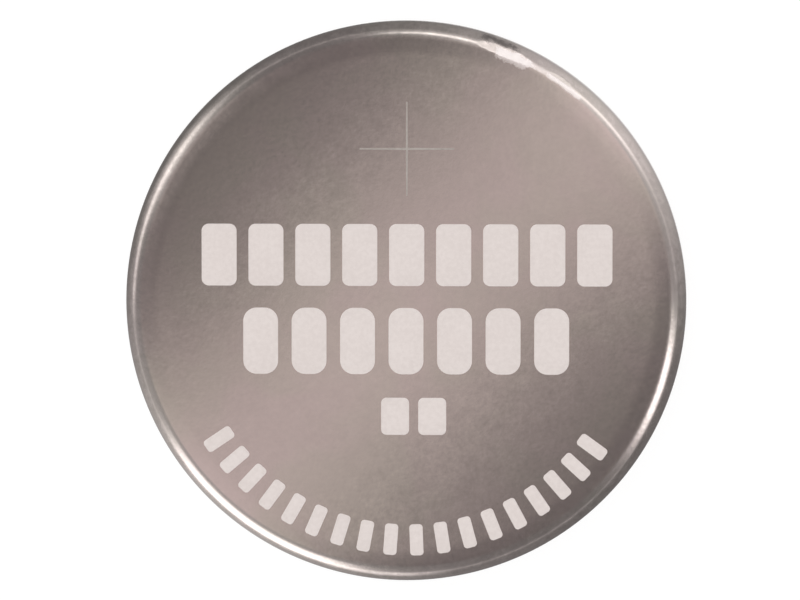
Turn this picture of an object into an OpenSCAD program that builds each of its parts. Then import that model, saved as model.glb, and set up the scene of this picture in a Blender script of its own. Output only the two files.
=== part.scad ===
// Lithium coin cell: a drawn steel can crimped over a stepped cap and a plastic seal.
// The cell lies on its negative contact. Z = 0 is the flat face of that contact, and +Z runs
// along the cell's axis, out of the positive face. Every piece is a section turned about Z.
// Sections are drawn as [radius, height].

/* [Cell] */
// Diameter over the can
cell_d = 12.5; // [11.5:0.1:14]
// Height from the negative contact to the positive face
cell_h = 1.6; // [1.45:0.05:2.5]
// Gap drawn between curved faces that press on each other
fit_gap = 0.01; // [0.005:0.005:0.02]

/* [Can] */
// Thickness of the can's sheet
can_t = 0.2; // [0.16:0.01:0.22]
// Width of the band in which the positive face falls away to the wall
roll_w = 0.75; // [0.65:0.05:1]
// Slope that the band reaches before the corner
roll_angle = 6; // [4:1:12]
// Straight part of that slope, between the soft bend and the corner
slope_l = 0.05; // [0.02:0.01:0.1]
// Outside radius of the corner between face and wall
corner_r = 0.48; // [0.34:0.02:0.5]
// Outside radius of the curl over the seal
curl_r = 0.5; // [0.4:0.02:0.56]
// Width of the curled rim, seen from the negative side
rim_w = 0.85; // [0.75:0.05:0.9]
// Slope of the lip that presses on the seal
lip_angle = 6; // [2:1:8]
// Height of the lip's edge above the negative contact
lip_z = 0.1; // [0.05:0.01:0.14]

/* [Worn spot] */
// Place of the worn spot round the rim, counted from +X
worn_at = 68; // [0:1:359]
// Tilt of the flat that the wear has left on the corner
worn_tilt = 28; // [20:1:45]
// Depth of the worn flat
worn_depth = 0.02; // [0.005:0.005:0.04]

/* [Cap] */
// Thickness of the cap's sheet
cap_t = 0.2; // [0.16:0.01:0.22]
// Flat of the shoulder that shows between the step and the seal
shoulder_land = 0.05; // [0.02:0.01:0.1]
// Outside radius of the edge round the contact disc
contact_edge_r = 0.4; // [0.3:0.02:0.44]
// Height of the step from the contact disc up to the shoulder
step_h = 0.45; // [0.42:0.01:0.5]
// Slope of the step
step_angle = 60; // [56:1:70]
// Radius of the hollow between step and shoulder
step_root_r = 0.1; // [0.06:0.01:0.12]
// Outside radius between shoulder and skirt
shoulder_r = 0.28; // [0.25:0.01:0.3]

/* [Seal] */
// Wall of the seal between can and skirt
seal_wall = 0.3; // [0.24:0.01:0.36]
// Depth of the seal's foot under the skirt
seal_foot = 0.15; // [0.12:0.01:0.2]
// Thickness of the short wall inside the skirt
seal_inner_wall = 0.18; // [0.12:0.01:0.2]
// Height of the short wall inside the skirt
seal_inner_h = 0.25; // [0.1:0.01:0.3]
// Width of the seal that shows between rim and cap
seal_show = 0.15; // [0.1:0.01:0.16]
// How far the seal swells down beside the lip's edge
seal_swell = 0.06; // [0.02:0.01:0.12]

/* [Inside] */
// Room for electrolyte between the separator's rim and the seal
side_room = 0.52; // [0.45:0.01:0.8]
// Broken edge of the tablet
tablet_edge = 0.06; // [0.04:0.01:0.1]
// Thickness of the ring's sheet
ring_t = 0.1; // [0.06:0.01:0.12]
// Width of the ring's flange
ring_flange = 0.8; // [0.4:0.05:1.5]
// Height of the ring
ring_h = 0.5; // [0.3:0.05:0.55]
// Inside radius of the bend in the ring
ring_bend_r = 0.04; // [0.02:0.01:0.06]
// Thickness of the separator
separator_t = 0.12; // [0.08:0.01:0.14]
// Height of the separator's upturned rim
separator_h = 0.5; // [0.3:0.05:0.6]
// Inside radius of the separator's bend
separator_bend_r = 0.08; // [0.06:0.01:0.1]
// Thickness of the lithium disc
lithium_t = 0.3; // [0.22:0.01:0.34]
// Margin between the lithium disc and the edge of the cap's flat
lithium_margin = 0.25; // [0.1:0.05:0.6]

/* [Hidden] */

// Longest turn of one straight stretch in a drawn bend, in degrees
bend_step = 9;
// Facets round the axis
round_facets = 180;

can_r = cell_d / 2;
can_inner_r = can_r - can_t;
can_wall_r = can_r - can_t / 2;
can_inner_z = cell_h - can_t;
corner_centre_r = can_r - corner_r;
flat_r = can_r - roll_w;
lip_r = can_r - rim_w;
lip_mid_z = lip_z + can_t / 2 * cos(lip_angle);
lip_mid_r = lip_r + can_t / 2 * sin(lip_angle);

skirt_r = can_inner_r - seal_wall;
skirt_inner_r = skirt_r - cap_t;
skirt_top = can_inner_z - seal_foot;
shoulder_mid_z = step_h + cap_t / 2;
seal_tip_r = lip_r - seal_show;
seal_inner_r = skirt_inner_r - fit_gap - seal_inner_wall;
// Height of the lip's upper edge, with the gap over it
lip_top_z = lip_mid_z + (can_t / 2 + fit_gap) * cos(lip_angle);

// The separator, the ring and the tablet fit one in the other, inside the seal
separator_r = seal_inner_r - side_room;
ring_r = separator_r - separator_t - fit_gap;
tablet_r = ring_r - ring_t - fit_gap;
ring_hole_r = ring_r - ring_flange;
lithium_top = cap_t + lithium_t;
separator_top = lithium_top + separator_t;

// Outside radius of the soft bend that starts the fall, which fills what the slope and the
// corner leave of the band
roll_bend_w = roll_w - slope_l * cos(roll_angle) - corner_r * (1 - sin(roll_angle));
roll_r = roll_bend_w / sin(roll_angle);

// The can's middle line, from the centre of the positive face to the edge of the lip
roll_bend = roll_r - can_t / 2;
roll_corner_r = flat_r + roll_bend * tan(roll_angle / 2);
roll_corner_z = cell_h - can_t / 2;
can_corner_z = roll_corner_z - (can_wall_r - roll_corner_r) * tan(roll_angle);
curl_corner_z = lip_mid_z + (can_wall_r - lip_mid_r) * tan(lip_angle);
can_path = [
    [0, roll_corner_z],
    [roll_corner_r, roll_corner_z],
    [can_wall_r, can_corner_z],
    [can_wall_r, curl_corner_z],
    [lip_mid_r, lip_mid_z]
];
can_bends = [roll_bend, corner_r - can_t / 2, curl_r - can_t / 2];

// Height of the centre of the corner between face and wall
corner_centre_z = can_corner_z - (corner_r - can_t / 2) * tan(45 - roll_angle / 2);

// The cap's middle line, from the centre of the contact to the end of the skirt
contact_bend = contact_edge_r - cap_t / 2;
step_root_bend = step_root_r + cap_t / 2;
step_top_r = seal_tip_r - shoulder_land - step_root_bend * tan(step_angle / 2);
step_foot_r = step_top_r - step_h / tan(step_angle);
cap_path = [
    [0, cap_t / 2],
    [step_foot_r, cap_t / 2],
    [step_top_r, shoulder_mid_z],
    [skirt_r - cap_t / 2, shoulder_mid_z],
    [skirt_r - cap_t / 2, skirt_top]
];
cap_bends = [contact_bend, step_root_bend, shoulder_r - cap_t / 2];
contact_r = step_foot_r - contact_bend * tan(step_angle / 2);

function unit(v) = v / norm(v);
function left_of(v) = [-v.y, v.x];
function reversed(list) = [for (i = [len(list) - 1:-1:0]) list[i]];

// Arc that rounds the corner b of the path a, b, c with radius r, shifted sideways.
// A positive shift is to the left of the way along the path.
function bend(a, b, c, r, shift) =
    let (
        u = unit(b - a),
        v = unit(c - b),
        turn = atan2(cross(u, v), u * v),
        centre = b + unit(v - u) * r / cos(turn / 2),
        first = atan2(u.y, u.x) - 90 * sign(turn),
        steps = ceil(abs(turn) / bend_step),
        radius = r - sign(turn) * shift
    )
    [
        for (i = [0:steps])
            let (angle = first + turn * i / steps)
            centre + radius * [cos(angle), sin(angle)]
    ];

// Line beside a path whose inner corners are rounded with the radii in bends
function beside(path, bends, shift) =
    let (last = len(path) - 1)
    [
        path[0] + shift * left_of(unit(path[1] - path[0])),
        for (i = [1:last - 1]) each bend(path[i - 1], path[i], path[i + 1], bends[i - 1], shift),
        path[last] + shift * left_of(unit(path[last] - path[last - 1]))
    ];

// Outline of a bent sheet of thickness t
function sheet(path, bends, t) =
    concat(beside(path, bends, t / 2), reversed(beside(path, bends, -t / 2)));

module turned(outline) {
    rotate_extrude($fn = round_facets)
        polygon(outline);
}

// Block whose lower face is the plane of the worn flat
module worn_cut() {
    block = 4 * corner_r;
    rotate([0, 0, worn_at])
        translate([corner_centre_r, 0, corner_centre_z])
            rotate([0, worn_tilt, 0])
                translate([-block / 2, -4 * block, corner_r - worn_depth])
                    cube([block, 8 * block, block]);
}

module cathode_can() {
    color("#a99c98")
        difference() {
            turned(sheet(can_path, can_bends, can_t));
            worn_cut();
        }
}

module anode_cap() {
    color("#b4aeaa")
        turned(sheet(cap_path, cap_bends, cap_t));
}

// The seal fills the room between can and cap, and ends in a short wall inside the skirt
module gasket() {
    can_side = beside(can_path, can_bends, -can_t / 2 - fit_gap);
    roof = [for (p = can_side) if (p.y > skirt_top) p];
    foot_edge = [[seal_inner_r, lookup(seal_inner_r, roof)]];
    outside = [for (p = can_side) if (p.x > seal_inner_r || p.y < skirt_top) p];
    tip = [
        [lip_r - fit_gap, lip_top_z],
        [lip_r - fit_gap, lip_top_z - fit_gap - seal_swell],
        [seal_tip_r, lip_top_z - fit_gap - seal_swell]
    ];
    cap_side = beside(
        [[seal_tip_r, shoulder_mid_z], cap_path[3], cap_path[4]],
        [cap_bends[2]],
        -cap_t / 2 - fit_gap
    );
    inner_wall = [
        [skirt_inner_r - fit_gap, skirt_top],
        [skirt_inner_r - fit_gap, skirt_top - seal_inner_h],
        [seal_inner_r, skirt_top - seal_inner_h]
    ];
    color("#3c3a3a")
        turned(concat(foot_edge, outside, tip, cap_side, inner_wall));
}

// The tablet has a seat for the ring's flange under the positive face
module cathode_pellet() {
    seat_z = can_inner_z - ring_t;
    seat_r = ring_hole_r - fit_gap;
    color("#2b2a2c")
        turned([
            [0, separator_top],
            [tablet_r - tablet_edge, separator_top],
            [tablet_r, separator_top + tablet_edge],
            [tablet_r, seat_z - tablet_edge],
            [tablet_r - tablet_edge, seat_z],
            [seat_r, seat_z],
            [seat_r, can_inner_z],
            [0, can_inner_z]
        ]);
}

module cathode_ring() {
    flange_z = can_inner_z - ring_t / 2;
    wall_r = ring_r - ring_t / 2;
    color("#c2c0bd")
        turned(sheet(
            [[ring_hole_r, flange_z], [wall_r, flange_z], [wall_r, can_inner_z - ring_h]],
            [ring_bend_r + ring_t / 2],
            ring_t
        ));
}

module separator() {
    floor_z = lithium_top + separator_t / 2;
    rim_r = separator_r - separator_t / 2;
    color("#eeece4")
        turned(sheet(
            [[0, floor_z], [rim_r, floor_z], [rim_r, lithium_top + separator_h]],
            [separator_bend_r + separator_t / 2],
            separator_t
        ));
}

module lithium_anode() {
    color("#d3d3cf")
        translate([0, 0, cap_t])
            cylinder(h = lithium_t, r = contact_r - lithium_margin, $fn = round_facets);
}

cathode_can();
anode_cap();
gasket();
cathode_pellet();
cathode_ring();
separator();
lithium_anode();
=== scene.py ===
# Lithium coin cell: the looks of its pieces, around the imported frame.
# Profiles are worked out in millimetres as (radius, height), and meshes are made in metres.
import math

import bpy
import numpy as np
from mathutils import Matrix, Vector


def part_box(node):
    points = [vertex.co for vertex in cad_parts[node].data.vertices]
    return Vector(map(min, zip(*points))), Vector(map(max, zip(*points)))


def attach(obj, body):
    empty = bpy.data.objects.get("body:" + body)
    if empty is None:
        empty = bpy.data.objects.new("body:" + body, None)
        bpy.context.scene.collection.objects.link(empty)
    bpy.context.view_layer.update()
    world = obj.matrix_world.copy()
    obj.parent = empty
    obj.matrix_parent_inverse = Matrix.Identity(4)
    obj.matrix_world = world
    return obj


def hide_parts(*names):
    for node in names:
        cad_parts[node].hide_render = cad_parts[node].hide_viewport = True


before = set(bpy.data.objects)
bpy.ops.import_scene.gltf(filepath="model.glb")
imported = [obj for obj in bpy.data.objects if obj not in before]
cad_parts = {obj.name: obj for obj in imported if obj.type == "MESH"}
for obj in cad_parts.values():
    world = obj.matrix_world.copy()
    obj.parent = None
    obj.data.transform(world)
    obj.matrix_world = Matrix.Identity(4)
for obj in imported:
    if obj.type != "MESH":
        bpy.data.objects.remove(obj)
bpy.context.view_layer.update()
print("frame loaded with", len(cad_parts), "nodes")

mm = 0.001
nearlyNothing = 1e-6
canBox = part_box("cathode_can")
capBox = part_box("anode_cap")
cellRadius = canBox[1].x / mm
cellTop = canBox[1].z / mm
lipBottom = canBox[0].z / mm
skirtTop = capBox[1].z / mm
skirtRadius = capBox[1].x / mm
fitGap = 0.01


# Profiles

def unit(v):
    return v / np.linalg.norm(v)


# Roundings under this radius get points at steps so many times as wide
smallRounding, smallStep = 0.05, 4


# A corner list is (radius, height, rounding). Each corner b between a and c becomes an arc:
# its centre lies on the bisector, and its points turn evenly from one side to the other.
def rounded(corners, arcStep=3.0):
    pts = np.array([c[:2] for c in corners], float)
    out = []
    for i, (r, z, radius) in enumerate(corners):
        b = pts[i]
        u = unit(b - pts[i - 1])
        v = unit(pts[(i + 1) % len(pts)] - b)
        turn = math.atan2(u[0] * v[1] - u[1] * v[0], u @ v)
        if radius <= 0 or abs(turn) < nearlyNothing:
            out.append(b[None])
            continue
        centre = b + unit(v - u) * radius / math.cos(turn / 2)
        first = math.atan2(u[1], u[0]) - math.copysign(math.pi / 2, turn)
        step = arcStep if radius >= smallRounding else arcStep * smallStep
        steps = max(2, math.ceil(abs(math.degrees(turn)) / step))
        angle = first + turn * np.linspace(0, 1, steps + 1)
        out.append(centre + radius * np.column_stack([np.cos(angle), np.sin(angle)]))
    return np.vstack(out)


# Corners of the line beside a path: each one moves along the mitre of its two sides
def besideCorners(path, bends, shift):
    pts = np.array(path, float)
    way = np.diff(pts, axis=0)
    way /= np.linalg.norm(way, axis=1)[:, None]
    left = np.column_stack([-way[:, 1], way[:, 0]])
    before = np.vstack([left[:1], left])
    after = np.vstack([left, left[-1:]])
    mitre = (before + after) / (1 + np.sum(before * after, axis=1))[:, None]
    side = np.sign(way[:-1, 0] * way[1:, 1] - way[:-1, 1] * way[1:, 0])
    radii = np.concatenate([[0], np.array(bends) - side * shift, [0]])
    return [(*p, r) for p, r in zip(pts + shift * mitre, radii)]


# Outline of a bent sheet: one side of its middle line, then the other side back
def sheetCorners(path, bends, thickness, edge):
    one = besideCorners(path, bends, thickness / 2)
    other = besideCorners(path, bends, -thickness / 2)
    one[-1] = (*one[-1][:2], edge)
    other[-1] = (*other[-1][:2], edge)
    return one + other[::-1]


# Long straight sides get points at even distances, and one close to each end
def divided(outline, longest=0.4, close=0.012):
    loop = np.vstack([outline, outline[:1]])
    length = np.concatenate([[0], np.cumsum(np.linalg.norm(np.diff(loop, axis=0), axis=1))])
    sides = np.diff(length)
    far = sides > 4 * close
    extra = [length[:-1][far] + close, length[1:][far] - close]
    for start, side in zip(length[:-1][sides > longest], sides[sides > longest]):
        extra.append(start + side * np.linspace(0, 1, math.ceil(side / longest) + 1)[1:-1])
    places = np.unique(np.round(np.concatenate([length[:-1], *extra]), 7))
    return np.column_stack([np.interp(places, length, loop[:, k]) for k in (0, 1)])


# Meshes

def evenAngles(count):
    return np.arange(count) * 2 * math.pi / count


# Every outline point goes round the axis: x = r cos a, y = r sin a, and z stays
def turnedPoints(outline, angles):
    r, z = outline[:, :1], outline[:, 1:]
    return np.stack([r * np.cos(angles), r * np.sin(angles), z + 0 * angles], axis=-1)


# The grid closes on itself both ways, and a row on the axis is one point
def turnedMesh(name, outline, points):
    rows, columns = points.shape[:2]
    onward = np.roll(outline, -1, axis=0)
    area = np.sum(outline[:, 0] * onward[:, 1] - onward[:, 0] * outline[:, 1])
    onAxis = outline[:, 0] < nearlyNothing
    index = np.arange(rows * columns).reshape(rows, columns)
    index[onAxis] = index[onAxis, :1]
    a, b = index, np.roll(index, -1, axis=1)
    c, d = np.roll(b, -1, axis=0), np.roll(a, -1, axis=0)
    faces = np.stack([a, b, c, d] if area > 0 else [a, d, c, b], axis=-1).reshape(-1, 4)
    used, faces = np.unique(faces, return_inverse=True)
    faces = faces.reshape(-1, 4)
    same = np.stack([faces[:, k] == faces[:, (k + 1) % 4] for k in range(4)], axis=1)
    quads = faces[same.sum(1) == 0]
    narrow = faces[same.sum(1) == 1]
    keep = ~same[same.sum(1) == 1]
    triangles = narrow[keep].reshape(-1, 3)
    mesh = bpy.data.meshes.new(name)
    places = points.reshape(-1, 3)[used] * mm
    mesh.from_pydata(places.tolist(), [], quads.tolist() + triangles.tolist())
    return finishedPiece(name, mesh)


def finishedPiece(name, mesh):
    mesh.validate()
    mesh.shade_smooth()
    piece = bpy.data.objects.new(name, mesh)
    bpy.context.scene.collection.objects.link(piece)
    return piece


plateEdge = [(0, 0), (0.3, 0.6), (1, 1)]     # share of the slant, share of the height
sharpAngle = math.radians(35)


# Flat plates with slanted edges. Each outline is closed and goes up in steps, and at each step it is
# drawn in along its normals by a share of the slant.
def plateMesh(name, outlines, bottom, top, slant):
    count, size = outlines.shape[:2]
    along = np.roll(outlines, -1, axis=1) - np.roll(outlines, 1, axis=1)
    along /= np.linalg.norm(along, axis=2)[..., None]
    inward = np.stack([-along[..., 1], along[..., 0]], axis=-1)
    level = np.ones((count, size, 1))
    rings = []
    for drawnIn, risen in plateEdge:
        height = bottom + risen * (top - bottom)
        rings.append(np.concatenate([outlines + inward * slant * drawnIn, level * height], axis=-1))
    points = np.stack(rings, axis=1)
    index = np.arange(count * len(rings) * size).reshape(count, len(rings), size)
    near, far = index[:, :-1], index[:, 1:]
    sides = np.stack([near, np.roll(near, -1, 2), np.roll(far, -1, 2), far], axis=-1).reshape(-1, 4)
    caps = index[:, -1].tolist() + index[:, 0, ::-1].tolist()
    mesh = bpy.data.meshes.new(name)
    mesh.from_pydata((points.reshape(-1, 3) * mm).tolist(), [], sides.tolist() + caps)
    piece = finishedPiece(name, mesh)
    mesh.set_sharp_from_angle(angle=sharpAngle)
    return piece


# Node helpers

def addNode(tree, kind, values=None, **settings):
    made = tree.nodes.new(kind)
    for key, value in settings.items():
        setattr(made, key, value)
    for key, value in (values or {}).items():
        if isinstance(value, bpy.types.NodeSocket):
            tree.links.new(value, made.inputs[key])
        else:
            made.inputs[key].default_value = value
    return made


def mathNode(tree, operation, *values, clamp=False):
    settings = {"operation": operation, "use_clamp": clamp}
    return addNode(tree, "ShaderNodeMath", dict(enumerate(values)), **settings).outputs[0]


# Square root of a squared plus b squared
def lengthNode(tree, a, b):
    squares = [mathNode(tree, "POWER", side, 2) for side in (a, b)]
    return mathNode(tree, "SQRT", mathNode(tree, "ADD", *squares))


# factor * value + rest
def scaledSum(tree, value, factor, rest):
    return mathNode(tree, "MULTIPLY_ADD", value, factor, rest)


def mixColour(tree, factor, a, b, blend="MIX"):
    made = addNode(tree, "ShaderNodeMix", {0: factor, 6: a, 7: b}, data_type="RGBA", blend_type=blend)
    return made.outputs[2]


# A soft step from one level to another, while the value goes from low to high
def rangeNode(tree, value, low, high, toLow=0.0, toHigh=1.0):
    values = {"Value": value, "From Min": low, "From Max": high, "To Min": toLow, "To Max": toHigh}
    return addNode(tree, "ShaderNodeMapRange", values, interpolation_type="SMOOTHSTEP").outputs[0]


def noiseNode(tree, place, scale, detail=3.0, roughness=0.55, distortion=0.0):
    values = {"Vector": place, "Scale": scale, "Detail": detail}
    values |= {"Roughness": roughness, "Distortion": distortion}
    return addNode(tree, "ShaderNodeTexNoise", values).outputs[0]


# Object coordinates in millimetres
def placeInMm(tree):
    place = addNode(tree, "ShaderNodeTexCoord").outputs["Object"]
    return addNode(tree, "ShaderNodeVectorMath", {0: place, "Scale": 1000}, operation="SCALE").outputs[0]


def newGroup(name, inputs, outputs):
    group = bpy.data.node_groups.new(name, "ShaderNodeTree")
    for label, kind, default in inputs:
        socket = group.interface.new_socket(label, in_out="INPUT", socket_type=kind)
        socket.default_value = default
    for label, kind in outputs:
        group.interface.new_socket(label, in_out="OUTPUT", socket_type=kind)
    return group, group.nodes.new("NodeGroupInput").outputs, group.nodes.new("NodeGroupOutput")


def useGroup(tree, group, values):
    return addNode(tree, "ShaderNodeGroup", values, node_tree=group).outputs


# Normal from a height, whose whole range stands for a relief in millimetres
def bumpNode(tree, height, strength, relief):
    values = {"Strength": strength, "Distance": relief * mm, "Height": height}
    return addNode(tree, "ShaderNodeBump", values).outputs["Normal"]


def newMaterial(name):
    made = bpy.data.materials.new(name)
    made.use_nodes = True
    tree = made.node_tree
    shader = tree.nodes["Principled BSDF"]
    return made, tree, shader


speckShare = 0.31               # scale of the coarser specks, as a share of the grain's
patchFrom = (0.38, 0.62)        # noise over which the tint goes from cool to warm
breakFrom = (0.4, 0.65)         # noise over which a rubbed edge shows


# Fine grain and faint patches of a rolled, plated sheet. Height is the grain, for a bump.
def buildSheetGrain():
    inputs = [
        ("Colour", "NodeSocketColor", (0.5, 0.5, 0.5, 1)),
        ("Warm Tint", "NodeSocketColor", (1, 1, 1, 1)),
        ("Cool Tint", "NodeSocketColor", (1, 1, 1, 1)),
        ("Roughness", "NodeSocketFloat", 0.3),
        ("Grain Scale", "NodeSocketFloat", 12),
        ("Grain", "NodeSocketFloat", 0.1),
        ("Patch Scale", "NodeSocketFloat", 0.6),
    ]
    outputs = [("Colour", "NodeSocketColor"), ("Roughness", "NodeSocketFloat"), ("Height", "NodeSocketFloat")]
    tree, given, result = newGroup("sheetGrain", inputs, outputs)
    place = placeInMm(tree)
    grain = noiseNode(tree, place, given["Grain Scale"], detail=2.5)
    speck = noiseNode(tree, place, mathNode(tree, "MULTIPLY", given["Grain Scale"], speckShare), detail=2)
    patch = noiseNode(tree, place, given["Patch Scale"], detail=2, distortion=0.4)
    uneven = mathNode(tree, "ADD", *[mathNode(tree, "SUBTRACT", noise, 0.5) for noise in (grain, speck)])
    change = scaledSum(tree, uneven, given["Grain"], 1)
    tint = mixColour(tree, rangeNode(tree, patch, *patchFrom), given["Cool Tint"], given["Warm Tint"])
    toned = mixColour(tree, 1, given["Colour"], tint, "MULTIPLY")
    scaled = addNode(tree, "ShaderNodeVectorMath", {0: toned, "Scale": change}, operation="SCALE").outputs[0]
    tree.links.new(scaled, result.inputs["Colour"])
    rough = mathNode(tree, "MULTIPLY", given["Roughness"], mathNode(tree, "SUBTRACT", 2, change))
    tree.links.new(rough, result.inputs["Roughness"])
    tree.links.new(grain, result.inputs["Height"])
    return tree


# Rubbed edge: a ring round the axis at one radius and height, broken up by noise
def buildEdgeRub():
    inputs = [
        ("Radius", "NodeSocketFloat", 6),
        ("Height", "NodeSocketFloat", 1),
        ("Width", "NodeSocketFloat", 0.1),
        ("Break Scale", "NodeSocketFloat", 4),
    ]
    tree, given, result = newGroup("edgeRub", inputs, [("Mask", "NodeSocketFloat")])
    place = placeInMm(tree)
    axes = addNode(tree, "ShaderNodeSeparateXYZ", {0: place}).outputs
    radius = lengthNode(tree, axes[0], axes[1])
    aside = mathNode(tree, "SUBTRACT", radius, given["Radius"])
    above = mathNode(tree, "SUBTRACT", axes[2], given["Height"])
    away = lengthNode(tree, aside, above)
    near = mathNode(tree, "SUBTRACT", 1, mathNode(tree, "DIVIDE", away, given["Width"]), clamp=True)
    broken = rangeNode(tree, noiseNode(tree, place, given["Break Scale"], detail=4), *breakFrom)
    tree.links.new(mathNode(tree, "MULTIPLY", near, broken), result.inputs["Mask"])
    return tree


sheetGrain = buildSheetGrain()
edgeRub = buildEdgeRub()


# The grain is deeper on the two sides of a line across the face, where the metal looks mottled.
# The wall and the underside keep the even grain.
def sideGrain(tree, look):
    turn, low, high, deep = look["sides"]
    axes = addNode(tree, "ShaderNodeSeparateXYZ", {0: placeInMm(tree)}).outputs
    up = mathNode(tree, "MULTIPLY", axes[1], math.cos(math.radians(turn)))
    across = mathNode(tree, "ABSOLUTE", scaledSum(tree, axes[0], -math.sin(math.radians(turn)), up))
    onFace = rangeNode(tree, axes[2], *look["faceHeights"])
    beside = mathNode(tree, "MULTIPLY", rangeNode(tree, across, low, high), onFace)
    return scaledSum(tree, beside, deep - look["grain"], look["grain"])


rubbedRoughness = 0.08
grainRelief = 0.01


def surfaceLinks(tree, shader, colour, rough, normal):
    tree.links.new(colour, shader.inputs["Base Color"])
    tree.links.new(rough, shader.inputs["Roughness"])
    tree.links.new(normal, shader.inputs["Normal"])


# Metal of one sheet: grain from the group, and a paler rubbed ring where the sheet turns
def sheetMetal(name, look):
    made, tree, shader = newMaterial(name)
    depth = sideGrain(tree, look) if "sides" in look else look["grain"]
    grain = useGroup(tree, sheetGrain, {
        "Colour": (*look["colour"], 1),
        "Warm Tint": (*look["warm"], 1),
        "Cool Tint": (*look["cool"], 1),
        "Roughness": look["roughness"],
        "Grain Scale": look["grainScale"],
        "Grain": depth,
        "Patch Scale": look["patchScale"],
    })
    colour, rough = grain["Colour"], grain["Roughness"]
    for radius, height, width, strength in look["rubs"]:
        mask = useGroup(tree, edgeRub, {"Radius": radius, "Height": height, "Width": width})["Mask"]
        mask = mathNode(tree, "MULTIPLY", mask, strength)
        colour = mixColour(tree, mask, colour, (*look["rubbed"], 1))
        rough = scaledSum(tree, mask, rubbedRoughness, rough)
    # Scuffs on the corner: bared metal with a painted glint, and a patch of painted shade
    if "scuffsAndPaintedLight" in look:
        colour, rough = scuffsWithPaintedLight(tree, look, colour, rough)
    surfaceLinks(tree, shader, colour, rough, bumpNode(tree, grain["Height"], look["bump"], grainRelief))
    shader.inputs["Metallic"].default_value = 1
    return made


# Noise that moves the edges of the scuffs, in degrees along the rim and in millimetres across it
scuffEdge = {
    "scale": 5.5, "fineScale": 14, "fineShare": 0.4, "degrees": 5, "reach": 0.3, "degreesPerMm": 20,
}


# Scuffs on the can's corner: windows in angle and radius, whose ragged edges come from noise.
# The bright ones are bared metal painted paler as a painted glint; the dark one is painted shade on the
# dent's outer side, not dirt.
def scuffsWithPaintedLight(tree, look, colour, rough):
    place = placeInMm(tree)
    axes = addNode(tree, "ShaderNodeSeparateXYZ", {0: place}).outputs
    ragged = noiseNode(tree, place, scuffEdge["scale"], detail=5, roughness=0.65)
    torn = noiseNode(tree, place, scuffEdge["fineScale"], detail=3)
    coarser, finer = [mathNode(tree, "SUBTRACT", noise, 0.5) for noise in (ragged, torn)]
    shift = scaledSum(tree, finer, scuffEdge["fineShare"], coarser)
    plainAngle = mathNode(tree, "DEGREES", mathNode(tree, "ARCTAN2", axes[1], axes[0]))
    plainRadius = lengthNode(tree, axes[0], axes[1])
    onCorner = rangeNode(tree, axes[2], *look["faceHeights"])
    # Each window mixes in its tone: pale bared metal as a painted glint, or dark painted shade
    for middle, halfAngle, along, halfWidth, soft, wild, tone, strength in look["scuffsAndPaintedLight"]:
        angle = scaledSum(tree, shift, scuffEdge["degrees"] * wild, plainAngle)
        radius = scaledSum(tree, shift, scuffEdge["reach"] * wild, plainRadius)
        fromMiddle = mathNode(tree, "ABSOLUTE", mathNode(tree, "SUBTRACT", angle, middle))
        fromLine = mathNode(tree, "ABSOLUTE", mathNode(tree, "SUBTRACT", radius, along))
        softAngle = scuffEdge["degreesPerMm"] * soft
        across = rangeNode(tree, fromMiddle, halfAngle + softAngle, halfAngle - softAngle)
        band = rangeNode(tree, fromLine, halfWidth + soft, halfWidth - soft)
        mask = mathNode(tree, "MULTIPLY", mathNode(tree, "MULTIPLY", across, band), strength)
        mask = mathNode(tree, "MULTIPLY", mask, onCorner)
        colour = mixColour(tree, mask, colour, (*look[tone], 1))
        rough = scaledSum(tree, mask, look["scuffRoughness"], rough)
    return colour, rough


# Ranges of the noise over which a dull material goes from one end of its look to the other
dullNoise = {"fineShare": 0.65, "colourFrom": (0.36, 0.64), "roughnessFrom": (0.3, 0.7)}


# Dull material of one colour family: coarse patches, fine specks and a bump from both
def dullMaterial(name, look):
    made, tree, shader = newMaterial(name)
    place = placeInMm(tree)
    stretch = look.get("stretch", (1, 1, 1))
    stretched = addNode(tree, "ShaderNodeMapping", {0: place, "Scale": stretch}).outputs[0]
    fine = noiseNode(tree, stretched, look["fine"], detail=4, roughness=0.6, distortion=look.get("curl", 0))
    coarse = noiseNode(tree, place, look["coarse"], detail=3)
    share = dullNoise["fineShare"]
    blend = scaledSum(tree, fine, share, mathNode(tree, "MULTIPLY", coarse, 1 - share))
    amount = rangeNode(tree, blend, *dullNoise["colourFrom"])
    colour = mixColour(tree, amount, (*look["dark"], 1), (*look["light"], 1))
    rough = rangeNode(tree, fine, *dullNoise["roughnessFrom"], *look["roughness"])
    surfaceLinks(tree, shader, colour, rough, bumpNode(tree, blend, look["bump"], look["relief"]))
    shader.inputs["Metallic"].default_value = look.get("metallic", 0)
    shader.inputs["IOR"].default_value = look.get("ior", 1.5)
    return made


def addPiece(piece, material, slotName, *nodes):
    piece.data.materials.append(material)
    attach(piece, "root")
    if nodes:
        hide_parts(*nodes)
    return piece


# Can: a drawn cup, rounded at the positive face and curled over the seal
can = {
    "sheet": 0.2, "band": 0.75, "slope": 6, "slopeLength": 0.05, "corner": 0.48,
    "curl": 0.5, "rim": 0.85, "lipSlope": 6, "edge": 0.04,
    "columns": 240, "fineFrom": 48, "fineTo": 82, "fineStep": 0.25, "fineRoom": 0.005, "arcStep": 2,
}


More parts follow.
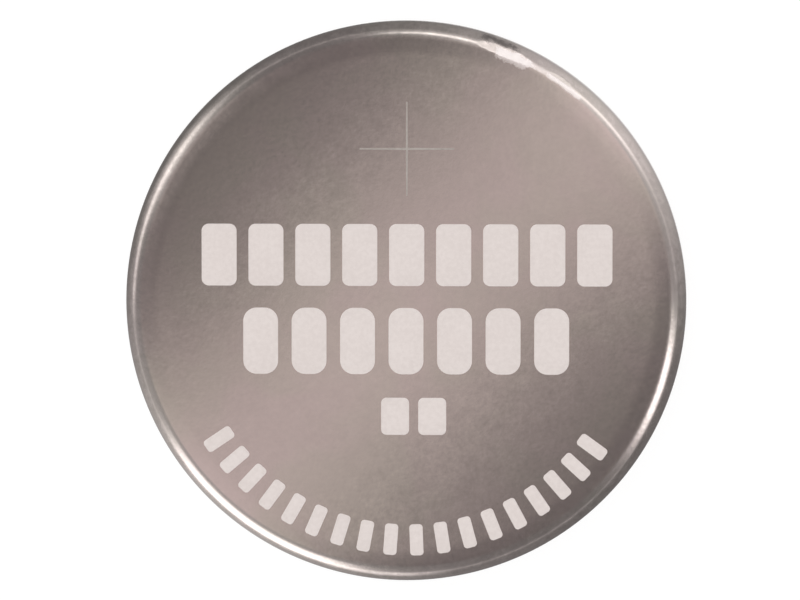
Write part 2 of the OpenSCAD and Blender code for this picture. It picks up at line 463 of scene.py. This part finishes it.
def canPath():
    slope, lipSlope = math.radians(can["slope"]), math.radians(can["lipSlope"])
    half = can["sheet"] / 2
    wall = cellRadius - half
    bendWidth = can["band"] - can["slopeLength"] * math.cos(slope) - can["corner"] * (1 - math.sin(slope))
    bend = bendWidth / math.sin(slope) - half
    top = cellTop - half
    turnRadius = cellRadius - can["band"] + bend * math.tan(slope / 2)
    cornerHeight = top - (wall - turnRadius) * math.tan(slope)
    lipRadius = cellRadius - can["rim"] + half * math.sin(lipSlope)
    lipHeight = lipBottom + half * math.cos(lipSlope)
    curlHeight = lipHeight + (wall - lipRadius) * math.tan(lipSlope)
    path = [(0, top), (turnRadius, top), (wall, cornerHeight), (wall, curlHeight), (lipRadius, lipHeight)]
    return path, [bend, can["corner"] - half, can["curl"] - half]


wear = {
    "spots": [(68, 28, 0.02), (55, 33, 0.006)],     # angle round the rim, tilt of the flat, depth
    "ragged": 0.005, "raggedDepth": 0.02, "room": 0.2,
    "waves": [(19, 11, 0, 0), (13, -27, 0, 2), (31, 0, 23, 1)],     # radians a mm in x, y, z, and start
}


# What stands beyond a worn flat is pressed back to it. Three sine waves through the cell make the
# flat uneven.
def wearDown(points):
    path, bends = canPath()
    slope = math.radians(can["slope"])
    inner = can["corner"] - can["sheet"] / 2
    centreHeight = path[2][1] - inner * math.tan(math.pi / 4 - slope / 2)
    centreRadius = cellRadius - can["corner"]
    x, y, z = np.moveaxis(points, -1, 0)
    waves = [np.sin(a * x + b * y + c * z + start) for a, b, c, start in wear["waves"]]
    uneven = wear["ragged"] * (np.mean(waves, axis=0) - 1) / 2
    for angle, tilt, depth in wear["spots"]:
        a, t = math.radians(angle), math.radians(tilt)
        normal = np.array([math.sin(t) * math.cos(a), math.sin(t) * math.sin(a), math.cos(t)])
        centre = np.array([centreRadius * math.cos(a), centreRadius * math.sin(a), centreHeight])
        beyond = (points - centre) @ normal - (can["corner"] - depth)
        beyond += uneven * depth / wear["raggedDepth"]
        near = (x * math.cos(a) + y * math.sin(a)) > centreRadius - wear["room"]
        points = points - normal * (np.maximum(beyond, 0) * near)[..., None]
    return points


# Columns stand closer together at the worn spot
def canAngles():
    even = evenAngles(can["columns"])
    low, high = math.radians(can["fineFrom"]), math.radians(can["fineTo"])
    fine = np.radians(np.arange(can["fineFrom"], can["fineTo"], can["fineStep"]))
    elsewhere = even[(even < low - can["fineRoom"]) | (even > high + can["fineRoom"])]
    return np.sort(np.concatenate([elsewhere, fine]))


def canOutline():
    path, bends = canPath()
    return divided(rounded(sheetCorners(path, bends, can["sheet"], can["edge"]), can["arcStep"]))


canSteel = {
    "colour": (0.56, 0.5, 0.475), "warm": (1.012, 0.992, 1.0), "cool": (0.992, 1.003, 0.982),
    "roughness": 0.22, "grainScale": 11, "grain": 0.07, "patchScale": 0.45, "bump": 0.11,
    "rubbed": (0.78, 0.7, 0.67),
    "sides": (43, 1.6, 3.6, 0.34),      # turn of the line, distances beside it, grain beyond them
    # radius, height, width, strength
    "rubs": [(cellRadius - 0.12, 1.42, 0.16, 0.35), (cellRadius - 0.85, 0.12, 0.12, 0.5)],
    # Scuffs: the bright ones are bared metal, painted paler as a painted glint; the dark one is painted shade
    "scuffsAndPaintedLight": [
        # azimuth, half angle, radius, half width, softness, raggedness, tone, strength
        (66, 3.8, 5.92, 0.12, 0.03, 1.0, "baredAndGlint", 1.0),
        (53.6, 4.2, 5.96, 0.048, 0.025, 0.3, "baredAndGlint", 0.85),
        (60, 3, 5.98, 0.04, 0.02, 0.5, "baredAndGlint", 0.2),
        (70, 4, 6.15, 0.05, 0.045, 0.9, "paintedShade", 0.8),
    ],
    # Scuff tones: bared metal painted pale as a painted glint, and painted shade for the dent's shadowed side
    "baredAndGlint": (0.9, 0.84, 0.82), "paintedShade": (0.16, 0.14, 0.135), "scuffRoughness": 0.2,
    "faceHeights": (1.05, 1.15),        # height over which the wall's finish gives way to the face's
}

outline = canOutline()
canPiece = turnedMesh("can_shell", outline, wearDown(turnedPoints(outline, canAngles())))
addPiece(canPiece, sheetMetal("canSteel", canSteel), "can_steel", "cathode_can")
print("can made with", len(canPiece.data.polygons), "faces")


# Cap: a drawn dish with a flat contact, a step and a skirt
cap = {
    "sheet": 0.2, "land": 0.05, "contactBend": 0.4, "step": 0.45, "stepSlope": 60,
    "rootBend": 0.1, "shoulderBend": 0.28, "edge": 0.03, "columns": 240, "arcStep": 3,
}
seal = {
    "show": 0.15, "swell": 0.06, "innerWall": 0.18, "innerHeight": 0.25,
    "softEdge": 0.03, "innerEdge": 0.01, "columns": 240, "arcStep": 3,
}
sealTip = cellRadius - can["rim"] - seal["show"]


def capPath():
    half = cap["sheet"] / 2
    slope = math.radians(cap["stepSlope"])
    root = cap["rootBend"] + half
    shoulder = cap["step"] + half
    top = sealTip - cap["land"] - root * math.tan(slope / 2)
    foot = top - cap["step"] / math.tan(slope)
    skirt = skirtRadius - half
    path = [(0, half), (foot, half), (top, shoulder), (skirt, shoulder), (skirt, skirtTop)]
    return path, [cap["contactBend"] - half, root, cap["shoulderBend"] - half]


capSteel = {
    "colour": (0.62, 0.6, 0.58), "warm": (1.02, 1.0, 0.985), "cool": (0.985, 1.0, 1.01),
    "roughness": 0.25, "grainScale": 9, "grain": 0.2, "patchScale": 0.5, "bump": 0.05,
    "rubbed": (0.8, 0.78, 0.76), "rubs": [(4.72, 0.04, 0.16, 0.5)],
}

path, bends = capPath()
contactRadius = path[1][0] - bends[0] * math.tan(math.radians(cap["stepSlope"] / 2))
outline = divided(rounded(sheetCorners(path, bends, cap["sheet"], cap["edge"]), cap["arcStep"]))
capPiece = turnedMesh("cap_shell", outline, turnedPoints(outline, evenAngles(cap["columns"])))
addPiece(capPiece, sheetMetal("capSteel", capSteel), "cap_steel", "anode_cap")
print("cap made with", len(capPiece.data.polygons), "faces")


# Seal: it fills the room between can and cap, and ends in a short wall inside the skirt
def sealCorners():
    path, bends = canPath()
    outside = besideCorners(path, bends, -can["sheet"] / 2 - fitGap)
    lip = outside[-1]
    skirtInner = skirtRadius - cap["sheet"] - fitGap
    inner = skirtInner - seal["innerWall"]
    # The roof follows the can's soft bend, which is almost straight over the seal's foot
    roofSlope = math.tan(math.radians(can["slope"]))
    roof = outside[2][1] + (outside[2][0] - inner) * roofSlope
    line, lineBends = capPath()
    nearCap = [(sealTip, line[3][1]), line[3], line[4]]
    capSide = besideCorners(nearCap, [lineBends[2]], -cap["sheet"] / 2 - fitGap)
    soft, inEdge = seal["softEdge"], seal["innerEdge"]
    lipTop = lip[1]
    gapRadius = cellRadius - can["rim"] - fitGap
    return [
        (inner, min(roof, cellTop - can["sheet"] - fitGap), soft),
        outside[2],
        outside[3],
        (gapRadius, lipTop, inEdge),
        (gapRadius, lipTop - fitGap - seal["swell"], soft),
        (sealTip, lipTop - fitGap - seal["swell"], soft),
        (sealTip, capSide[0][1], inEdge),
        capSide[1],
        (skirtInner + cap["sheet"] + 2 * fitGap, skirtTop, 0),
        (skirtInner, skirtTop, 0),
        (skirtInner, skirtTop - seal["innerHeight"], soft),
        (inner, skirtTop - seal["innerHeight"], soft),
    ]


sealPlastic = {
    "dark": (0.032, 0.031, 0.031), "light": (0.056, 0.054, 0.053), "fine": 9, "coarse": 1.6,
    "roughness": (0.36, 0.5), "bump": 0.15, "relief": 0.008,
}

outline = divided(rounded(sealCorners(), seal["arcStep"]))
sealPiece = turnedMesh("seal_ring", outline, turnedPoints(outline, evenAngles(seal["columns"])))
addPiece(sealPiece, dullMaterial("sealPlastic", sealPlastic), "seal_plastic", "gasket")
print("seal made with", len(sealPiece.data.polygons), "faces")


# Inner pieces: lithium disc, separator dish, ring and tablet, one in the other
inside = {
    "sideRoom": 0.52, "tabletEdge": 0.06, "ring": 0.1, "flange": 0.8, "ringHeight": 0.5, "ringBend": 0.04,
    "separator": 0.12, "separatorHeight": 0.5, "separatorBend": 0.08, "lithium": 0.3, "margin": 0.25,
    "edge": 0.02, "innerEdge": 0.01, "columns": 160, "arcStep": 6,
}
ceiling = cellTop - can["sheet"]
separatorRadius = skirtRadius - cap["sheet"] - fitGap - seal["innerWall"] - inside["sideRoom"]
ringRadius = separatorRadius - inside["separator"] - fitGap
tabletRadius = ringRadius - inside["ring"] - fitGap
ringHole = ringRadius - inside["flange"]
lithiumTop = cap["sheet"] + inside["lithium"]


def lithiumCorners():
    radius = contactRadius - inside["margin"]
    bottom = cap["sheet"]
    return [(0, bottom, 0), (radius, bottom, 0), (radius, lithiumTop, inside["edge"]), (0, lithiumTop, 0)]


def separatorCorners():
    half = inside["separator"] / 2
    rim = separatorRadius - half
    path = [(0, lithiumTop + half), (rim, lithiumTop + half), (rim, lithiumTop + inside["separatorHeight"])]
    return sheetCorners(path, [inside["separatorBend"] + half], inside["separator"], inside["edge"])


def ringCorners():
    half = inside["ring"] / 2
    wall = ringRadius - half
    path = [(ringHole, ceiling - half), (wall, ceiling - half), (wall, ceiling - inside["ringHeight"])]
    corners = sheetCorners(path, [inside["ringBend"] + half], inside["ring"], inside["edge"])
    return [(*corners[0][:2], inside["edge"]), *corners[1:-1], (*corners[-1][:2], inside["edge"])]


def tabletCorners():
    bottom, seat = lithiumTop + inside["separator"], ceiling - inside["ring"]
    hole = ringHole - fitGap
    slope, edge = inside["tabletEdge"], inside["edge"]
    return [
        (0, bottom, 0), (tabletRadius - slope, bottom, edge), (tabletRadius, bottom + slope, edge),
        (tabletRadius, seat - slope, edge), (tabletRadius - slope, seat, edge),
        (hole, seat, inside["innerEdge"]), (hole, ceiling, edge), (0, ceiling, 0),
    ]


lithiumMetal = {
    "dark": (0.44, 0.44, 0.43), "light": (0.66, 0.66, 0.64), "fine": 3.5, "coarse": 0.7,
    "roughness": (0.42, 0.62), "bump": 0.2, "relief": 0.01, "metallic": 1,
}
fleece = {
    "dark": (0.72, 0.71, 0.67), "light": (0.9, 0.89, 0.85), "fine": 7, "coarse": 1.5, "curl": 1.4,
    "stretch": (1, 0.25, 1), "roughness": (0.85, 0.95), "bump": 0.5, "relief": 0.02,
}
ringSteel = {
    "colour": (0.6, 0.59, 0.57), "warm": (1.01, 1, 0.99), "cool": (0.99, 1, 1.01),
    "roughness": 0.2, "grainScale": 14, "grain": 0.15, "patchScale": 0.8, "bump": 0.04,
    "rubbed": (0.75, 0.74, 0.72), "rubs": [(4.7, 1.38, 0.08, 0.4)],
}
powder = {
    "dark": (0.014, 0.014, 0.015), "light": (0.04, 0.039, 0.042), "fine": 16, "coarse": 2,
    "roughness": (0.75, 0.95), "bump": 0.5, "relief": 0.015,
}

softMetal = dullMaterial("lithiumMetal", lithiumMetal)
innerPieces = [
    ("lithium_disc", lithiumCorners, softMetal, "lithium_metal", "lithium_anode"),
    ("separator_dish", separatorCorners, dullMaterial("fleece", fleece), "separator_fleece", "separator"),
    ("support_ring", ringCorners, sheetMetal("ringSteel", ringSteel), "ring_steel", "cathode_ring"),
    ("powder_tablet", tabletCorners, dullMaterial("powder", powder), "tablet_powder", "cathode_pellet"),
]
for name, corners, material, slotName, node in innerPieces:
    outline = divided(rounded(corners(), inside["arcStep"]))
    piece = turnedMesh(name, outline, turnedPoints(outline, evenAngles(inside["columns"])))
    addPiece(piece, material, slotName, node)
    print(name, "made with", len(piece.data.polygons), "faces")


# Print on the positive face: a plus sign, plain blocks in rows and plain ticks on an arc
marks = {
    "thickness": 0.006, "sunk": 0.002, "slant": 0.008,
    "plusAt": (0.0485, 3.412), "plusReach": (1.05, 1.04), "plusWidth": 0.05, "plusTip": 0.034,
    "rows": [
        # height of the row's middle, width of the row, height, blocks, gap, rounding, shift
        (1.055, 9.13, 1.38, 9, 0.26, 0.16, 0.045),
        (-0.86, 7.25, 1.48, 7, 0.3, 0.3, 0.03),
        (-2.535, 1.45, 0.83, 2, 0.2, 0.12, 0.2),
    ],
    "arcCentre": (0.065, -0.225), "arcRadii": (4.72, 5.42), "arcFrom": 214, "arcTo": 324,
    "arcTicks": 18, "arcTickWidth": 0.3, "arcRounding": 0.08, "arcStep": 12,
}
inkPaint = {
    "dark": (0.75, 0.67, 0.64), "light": (0.8, 0.72, 0.69), "fine": 10, "coarse": 1.2,
    "roughness": (0.42, 0.55), "bump": 0.1, "relief": 0.003,
}
thinPaint = {**inkPaint, "dark": (0.37, 0.325, 0.295), "light": (0.45, 0.4, 0.37)}
ink = dullMaterial("inkPaint", inkPaint)
thinInk = dullMaterial("thinInkPaint", thinPaint)


# Outline of a block: four corners with arcs, run counterclockwise
def blockOutline(width, height, radius):
    x, y = width / 2, height / 2
    corners = [(-x, -y, radius), (x, -y, radius), (x, y, radius), (-x, y, radius)]
    return rounded(corners, marks["arcStep"])


def markPiece(name, outlines, material=ink):
    bottom, top = cellTop - marks["sunk"], cellTop + marks["thickness"]
    piece = plateMesh(name, outlines, bottom, top, marks["slant"])
    addPiece(piece, material, "print_ink")
    return piece


def plusOutline():
    (x, y), w, tip = marks["plusReach"], marks["plusWidth"] / 2, marks["plusTip"] / 2
    corners = [
        (x, -tip), (x, tip), (w, w), (tip, y), (-tip, y), (-w, w),
        (-x, tip), (-x, -tip), (-w, -w), (-tip, -y), (tip, -y), (w, -w),
    ]
    return np.array(corners) + marks["plusAt"]


markPiece("plus_mark", plusOutline()[None], thinInk)
for number, (middle, width, height, count, gap, radius, shift) in enumerate(marks["rows"], 1):
    blockWidth = (width - gap * (count - 1)) / count
    starts = (np.arange(count) - (count - 1) / 2) * (blockWidth + gap) + shift
    block = blockOutline(blockWidth, height, radius)
    outlines = block[None] + np.stack([starts, starts * 0 + middle], axis=-1)[:, None]
    markPiece(f"mark_row_{number}", outlines)

angles = np.radians(np.linspace(marks["arcFrom"], marks["arcTo"], marks["arcTicks"]))
low, high = marks["arcRadii"]
tick = blockOutline(high - low, marks["arcTickWidth"], marks["arcRounding"]) + np.array([(low + high) / 2, 0])
turned = np.stack([
    tick[:, 0] * np.cos(angles)[:, None] - tick[:, 1] * np.sin(angles)[:, None],
    tick[:, 0] * np.sin(angles)[:, None] + tick[:, 1] * np.cos(angles)[:, None],
], axis=-1)
markPiece("mark_arc", turned + np.array(marks["arcCentre"]))
print("print made")


# Studio: floor, cards that only reflections see, lamps and camera
studio = {
    "floorDrop": 0.02, "floorRings": (5.4, 20, 100, 500),
    "floorGlow": 0.83, "floorShade": 0.25, "floorColour": 0.8, "ambient": 0.86,
}


# Open band turned round the axis from a few (radius, height) points
def turnedBand(name, profile, count=96):
    points = turnedPoints(np.array(profile, float), evenAngles(count))
    index = np.arange(len(profile) * count).reshape(len(profile), count)
    near, far = index[:-1], index[1:]
    faces = np.stack([near, far, np.roll(far, -1, 1), np.roll(near, -1, 1)], axis=-1).reshape(-1, 4)
    mesh = bpy.data.meshes.new(name)
    mesh.from_pydata((points.reshape(-1, 3) * mm).tolist(), [], faces.tolist())
    band = finishedPiece(name, mesh)
    return band


# 1 for rays that show a background: straight from the camera, or by way of metal or glass
def backgroundRay(tree):
    path = addNode(tree, "ShaderNodeLightPath").outputs
    seen = mathNode(tree, "ADD", path["Is Camera Ray"], path["Is Glossy Ray"])
    return mathNode(tree, "ADD", seen, path["Is Transmission Ray"], clamp=True)


def floorMaterial():
    made, tree, shader = newMaterial("paleFloor")
    tree.nodes.remove(shader)
    white = addNode(tree, "ShaderNodeEmission", {"Strength": studio["floorGlow"]}).outputs[0]
    shade = addNode(tree, "ShaderNodeBsdfDiffuse", {"Color": (*[studio["floorShade"]] * 3, 1)}).outputs[0]
    plain = addNode(tree, "ShaderNodeBsdfDiffuse", {"Color": (*[studio["floorColour"]] * 3, 1)}).outputs[0]
    shown = addNode(tree, "ShaderNodeAddShader", {0: white, 1: shade}).outputs[0]
    front = addNode(tree, "ShaderNodeMixShader", {0: backgroundRay(tree), 1: plain, 2: shown}).outputs[0]
    back = addNode(tree, "ShaderNodeBsdfTransparent").outputs[0]
    side = addNode(tree, "ShaderNodeNewGeometry").outputs["Backfacing"]
    both = addNode(tree, "ShaderNodeMixShader", {0: side, 1: front, 2: back}).outputs[0]
    tree.links.new(both, tree.nodes["Material Output"].inputs["Surface"])
    return made


# Bell round a middle: exp(-|x / spread| ^ power). Power 2 is soft, and 6 has a flat top.
def bell(tree, value, middle, spread, power=2):
    share = mathNode(tree, "DIVIDE", mathNode(tree, "SUBTRACT", value, middle), spread)
    raised = mathNode(tree, "POWER", mathNode(tree, "ABSOLUTE", share), power)
    return mathNode(tree, "EXPONENT", mathNode(tree, "MULTIPLY", raised, -1))


def glowMaterial(name, glowOf):
    made, tree, shader = newMaterial(name)
    tree.nodes.remove(shader)
    axes = addNode(tree, "ShaderNodeSeparateXYZ", {0: placeInMm(tree)}).outputs
    strength, tone = glowOf(tree, *axes)
    glow = addNode(tree, "ShaderNodeEmission", {"Color": tone, "Strength": strength}).outputs[0]
    tree.links.new(glow, tree.nodes["Material Output"].inputs["Surface"])
    return made


def addCard(name, profile, material):
    card = turnedBand(name, profile)
    card.data.materials.append(material)
    card.visible_camera = card.visible_diffuse = card.visible_shadow = card.visible_transmission = False
    return card


# Overhead card: a soft bright stripe, which widens with the square of the way along it. Its tone is
# faintly red beside the stripe, faintly yellow on the flanks and pink at the core.
overhead = {
    "height": 26, "reach": 24, "turn": 43, "glow": 0.115, "edge": 0.1, "edgeFrom": (6.6, 9.5),
    "dark": (1.065, 0.985, 0.985), "middle": (1.035, 1.0, 0.92), "bright": (1.1, 0.975, 0.975),
    "flank": (0.35, 0.65), "core": (0.78, 0.95),
    "patches": [
        # right, up, spread, strength
        (-19.4, 10.3, 6, 0.45), (-12, 6.4, 5, 0.12), (3, 21.8, 6, 0.2),
        (21.5, -8, 5, 0.15), (-8.4, -1, 2.8, -0.16), (-3.1, -4.3, 2.6, 0.07),
    ],
    "stripe": 0.635, "spread": 4.25, "widening": 0.03, "power": 2.3, "aside": 0.45,
    "end": 0.1, "endFrom": (0, 6),      # more light at the far end of the stripe
    "swell": (-2.6, 1.8, 0.135),        # place along the stripe, spread, strength
}


def overheadGlow(tree, x, y, z):
    turn = math.radians(overhead["turn"])
    along = scaledSum(tree, x, math.cos(turn), mathNode(tree, "MULTIPLY", y, math.sin(turn)))
    across = scaledSum(tree, y, math.cos(turn), mathNode(tree, "MULTIPLY", x, -math.sin(turn)))
    wide = mathNode(tree, "MULTIPLY", mathNode(tree, "POWER", along, 2), overhead["widening"])
    spread = lengthNode(tree, wide, overhead["spread"])
    stripe = bell(tree, across, -overhead["aside"], spread, overhead["power"])
    low, high = overhead["stripe"], overhead["stripe"] + overhead["end"]
    level = rangeNode(tree, along, *overhead["endFrom"], low, high)
    middle, size, strength = overhead["swell"]
    level = scaledSum(tree, bell(tree, along, middle, size), strength, level)
    radius = lengthNode(tree, x, y)
    low, high = overhead["glow"], overhead["glow"] + overhead["edge"]
    glow = rangeNode(tree, radius, *overhead["edgeFrom"], low, high)
    for right, up, size, strength in overhead["patches"]:
        away = lengthNode(tree, mathNode(tree, "SUBTRACT", x, right), mathNode(tree, "SUBTRACT", y, up))
        glow = scaledSum(tree, bell(tree, away, 0, size), strength, glow)
    flank, core = [rangeNode(tree, stripe, *overhead[part]) for part in ("flank", "core")]
    tone = mixColour(tree, flank, (*overhead["dark"], 1), (*overhead["middle"], 1))
    tone = mixColour(tree, core, tone, (*overhead["bright"], 1))
    return scaledSum(tree, stripe, level, glow), tone


# Surround: a dome with an apron on the floor. Its bands lie at an azimuth and a zenith angle as
# seen from the rim, and the zenith angle sways with the azimuth.
everyWay = 9999
surround = {
    "rim": (6.1, 1.4), "radius": 120, "from": 30, "apron": (6.6, 12, 30),
    "glow": 0.22, "sway": 9, "swayAt": 50, "tone": (1.0, 0.99, 0.99, 1),
    "bands": [
        # azimuth, spread, zenith angle, spread, glow, power
        (42, 33, 95, 90, 0.75, 2),
        (226, 38, 95, 90, 0.5, 2),
        (0, everyWay, 73, 4, 0.32, 2),
        (43, 14, 68, 7, 1.2, 4),
        (60, 13, 46, 18, 0.5, 3),
        (66, 6, 44, 20, 1.1, 3),
        (78, 14, 45, 25, 0.25, 2),
        (84, 13, 60, 5, 2.4, 4),
        (152, 14, 62, 10, 0.75, 4),
        (153, 9, 54, 24, 1.25, 2),
        (152, 24, 86, 18, 0.25, 2),
        (172, 12, 67, 9, 0.95, 4),
        (235, 21, 67, 20, 2.1, 8),
        (263, 9, 80, 12, 0.8, 6),
        (337.5, 12, 52, 20, 2.7, 5),
    ],
}


def surroundGlow(tree, x, y, z):
    rimRadius, rimHeight = surround["rim"]
    azimuth = mathNode(tree, "DEGREES", mathNode(tree, "ARCTAN2", y, x))
    below = mathNode(tree, "SUBTRACT", rimHeight, z)
    beside = mathNode(tree, "SUBTRACT", lengthNode(tree, x, y), rimRadius)
    drop = mathNode(tree, "DEGREES", mathNode(tree, "ARCTAN2", below, beside))
    fromSway = mathNode(tree, "RADIANS", mathNode(tree, "SUBTRACT", azimuth, surround["swayAt"]))
    swung = scaledSum(tree, mathNode(tree, "COSINE", fromSway), surround["sway"], 90)
    zenith = mathNode(tree, "ADD", drop, swung)
    glow = surround["glow"]
    for middle, spread, height, heightSpread, strength, power in surround["bands"]:
        turned = mathNode(tree, "WRAP", azimuth, middle + 180, middle - 180)
        wide = bell(tree, turned, middle, spread, power)
        high = bell(tree, zenith, height, heightSpread, power)
        glow = scaledSum(tree, mathNode(tree, "MULTIPLY", wide, high), strength, glow)
    return glow, surround["tone"]


# Card under the floor, for the cap: a bright and a dark ring, and a lean from side to side
under = {
    "radius": 120, "from": 92, "to": 179.9, "glow": 0.42, "lean": 0.0018, "tone": (1, 1, 1, 1),
    "rings": [(38, 14, 0.42), (75, 14, -0.26)],     # angle from straight down, spread, strength
}


def underGlow(tree, x, y, z):
    depth = mathNode(tree, "MULTIPLY", z, -1)
    nadir = mathNode(tree, "DEGREES", mathNode(tree, "ARCTAN2", lengthNode(tree, x, y), depth))
    glow = scaledSum(tree, x, under["lean"], under["glow"])
    for middle, spread, strength in under["rings"]:
        glow = scaledSum(tree, bell(tree, nadir, middle, spread), strength, glow)
    return glow, under["tone"]


def domeProfile(radius, low, high, count=24):
    angle = np.radians(np.linspace(low, high, count))
    return [(radius * math.sin(a), radius * math.cos(a)) for a in angle]


floor = turnedBand("floor", [(radius, -studio["floorDrop"]) for radius in studio["floorRings"]])
floor.data.materials.append(floorMaterial())
top = overhead["height"]
addCard("card_overhead", [(0.01, top), (overhead["reach"], top)], glowMaterial("overheadCard", overheadGlow))
dome = domeProfile(surround["radius"], surround["from"], 90)
apron = [(radius, 0) for radius in surround["apron"]]
addCard("card_surround", apron + dome[::-1], glowMaterial("surroundCard", surroundGlow))
bowl = domeProfile(under["radius"], under["from"], under["to"])
addCard("card_under", bowl, glowMaterial("underCard", underGlow))

world = bpy.data.worlds.new("studio")
bpy.context.scene.world = world
world.use_nodes = True
tree = world.node_tree
ambient, white = (*[studio["ambient"]] * 3, 1), (1, 1, 1, 1)
tree.links.new(mixColour(tree, backgroundRay(tree), ambient, white), tree.nodes["Background"].inputs["Color"])

# Each lamp: azimuth and zenith angle seen from the cell, distance, size, brightness
lamps = {
    "key": (130, 35, 120, 70, 0.9),
    "fill": (320, 50, 120, 60, 0.5),
}


# The lamp faces the cell: its own +Z points back along the line from the cell to the lamp
def addLamp(name, azimuth, zenith, distance, size, brightness):
    a, t = math.radians(azimuth), math.radians(zenith)
    way = Vector((math.sin(t) * math.cos(a), math.sin(t) * math.sin(a), math.cos(t)))
    data = bpy.data.lights.new(name, "AREA")
    data.shape, data.size = "SQUARE", size * mm
    data.energy = brightness * (size * mm) ** 2 * math.pi
    lamp = bpy.data.objects.new(name, data)
    bpy.context.scene.collection.objects.link(lamp)
    lamp.location = way * distance * mm + Vector((0, 0, cellTop * mm))
    lamp.rotation_euler = way.to_track_quat("Z", "Y").to_euler()
    lamp.visible_camera = lamp.visible_glossy = False


for name, values in lamps.items():
    addLamp(name, *values)
print("studio lit with", len(lamps), "lamps")

camera = {
    "lens": 250, "sensor": 36, "tilt": 4.5, "towards": 52,
    "pixelsPerMm": 44.75, "imageWidth": 800, "aside": (-0.142, 0.006), "sees": (1, 2000),
}


# The camera stands back along its tilt, so that a millimetre of the cell has the wanted pixels
def addCamera():
    data = bpy.data.cameras.new("camera")
    data.lens, data.sensor_width = camera["lens"], camera["sensor"]
    away = camera["imageWidth"] / camera["pixelsPerMm"] * camera["lens"] / camera["sensor"]
    a, t = math.radians(camera["towards"]), math.radians(camera["tilt"])
    way = Vector((math.sin(t) * math.cos(a), math.sin(t) * math.sin(a), math.cos(t)))
    right = Vector((0, 1, 0)).cross(way).normalized()
    up = way.cross(right)
    x, y = camera["aside"]
    aim = Vector((0, 0, cellTop / 2)) + right * x + up * y
    holder = bpy.data.objects.new("camera", data)
    bpy.context.scene.collection.objects.link(holder)
    turn = Matrix((right, up, way)).transposed()
    holder.matrix_world = Matrix.Translation((aim + way * away) * mm) @ turn.to_4x4()
    data.clip_start, data.clip_end = [reach * mm for reach in camera["sees"]]
    bpy.context.scene.camera = holder


addCamera()

bpy.context.scene.view_settings.view_transform = "Standard"
